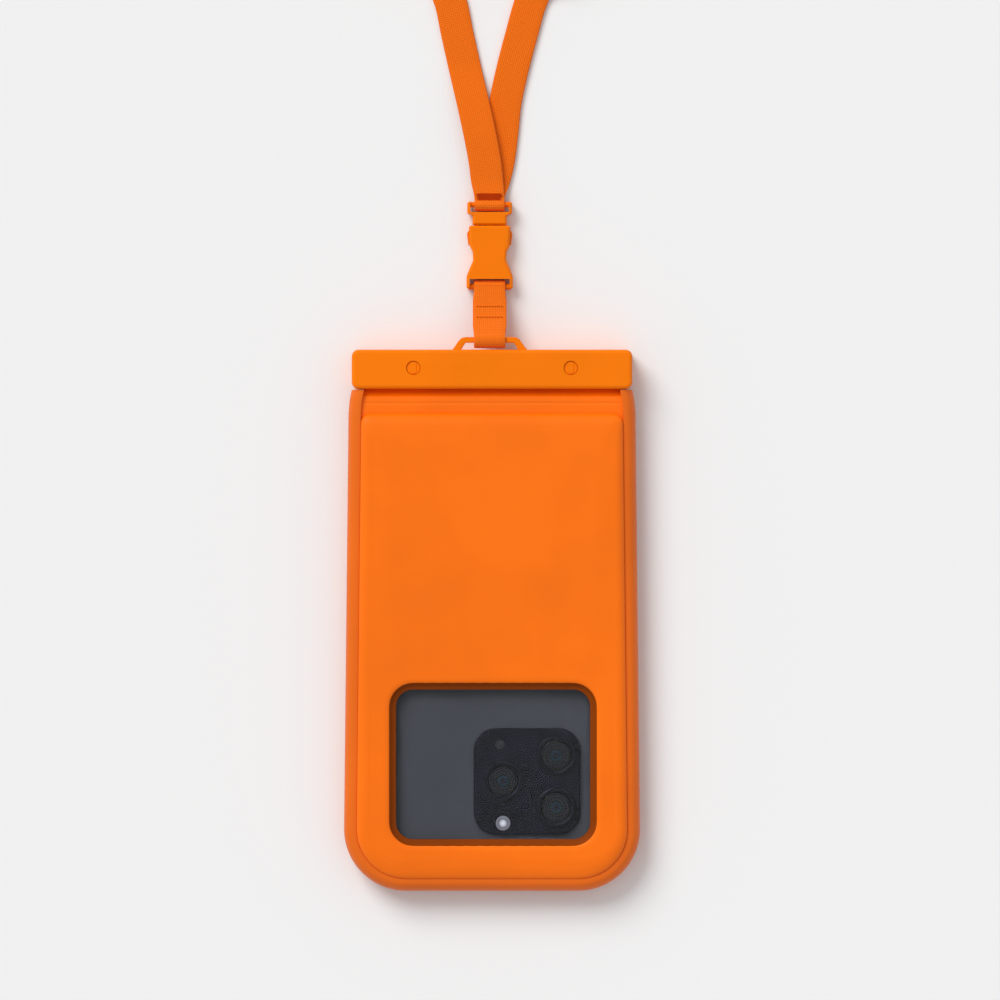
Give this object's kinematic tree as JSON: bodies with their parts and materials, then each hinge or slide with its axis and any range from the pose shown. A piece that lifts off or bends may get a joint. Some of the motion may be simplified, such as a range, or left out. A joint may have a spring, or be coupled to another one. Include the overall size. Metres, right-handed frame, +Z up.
{
  "type": "waterproof phone pouch",
  "caption": "Flat waterproof phone pouch with a rigid clamp bar, camera window, touch window, a phone inside and a neck lanyard with a side-release buckle.",
  "frame": {"origin": "on the surface the pouch lies on, under the middle of the pouch and its lug", "axes": "+Z up out of the back face, +Y along the pouch towards its clamp bar and lanyard, +X across it to the right as seen from the back"},
  "size_m": [0.113, 0.5462, 0.0158],
  "materials": {
    "cover": "satin orange TPU",
    "window_film": "clear glossy film",
    "foam": "dark grey EVA foam",
    "clamp_bar": "satin orange moulded plastic",
    "seal": "pale silicone",
    "phone_shell": "satin graphite",
    "phone_glass": "black glass",
    "island": "near-black gloss",
    "lens_metal": "dark anodised",
    "flash": "pale lens",
    "webbing": "orange woven webbing"
  },
  "bodies": {
    "pouch": {"front_panel": "cover", "front_window": "window_film", "rim_bumper": "cover", "back_panel": "cover", "back_window": "window_film", "float_pad": "foam", "back_bar": "clamp_bar", "front_bar": "clamp_bar", "bar_seal": "seal", "phone_body": "phone_shell", "phone_screen": "phone_glass", "phone_camera_island": "island", "phone_lens_ring_upper": "lens_metal", "phone_lens_glass_upper": "phone_glass", "phone_lens_ring_lower": "lens_metal", "phone_lens_glass_lower": "phone_glass", "phone_lens_ring_middle": "lens_metal", "phone_lens_glass_middle": "phone_glass", "phone_flash": "flash", "phone_sensor": "phone_glass", "lug_loop": "webbing", "buckle_socket": "clamp_bar", "buckle_plug": "clamp_bar", "neck_strap_left": "webbing", "neck_strap_right": "webbing", "neck_strap_hank": "webbing", "hank_tie": "seal"},
    "left_lock": {"left_lock_knob": "clamp_bar", "left_lock_pin": "clamp_bar"},
    "right_lock": {"right_lock_knob": "clamp_bar", "right_lock_pin": "clamp_bar"}
  },
  "joints": [
    {"name": "left_lock_turn", "type": "hinge", "parent": "pouch", "child": "left_lock", "pos_m": [-0.03, 0.09385, 0.002], "axis": [0, 0, 1], "range_deg": [0, 90]},
    {"name": "right_lock_turn", "type": "hinge", "parent": "pouch", "child": "right_lock", "pos_m": [0.03, 0.09385, 0.002], "axis": [0, 0, 1], "range_deg": [-90, 0]}
  ]
}
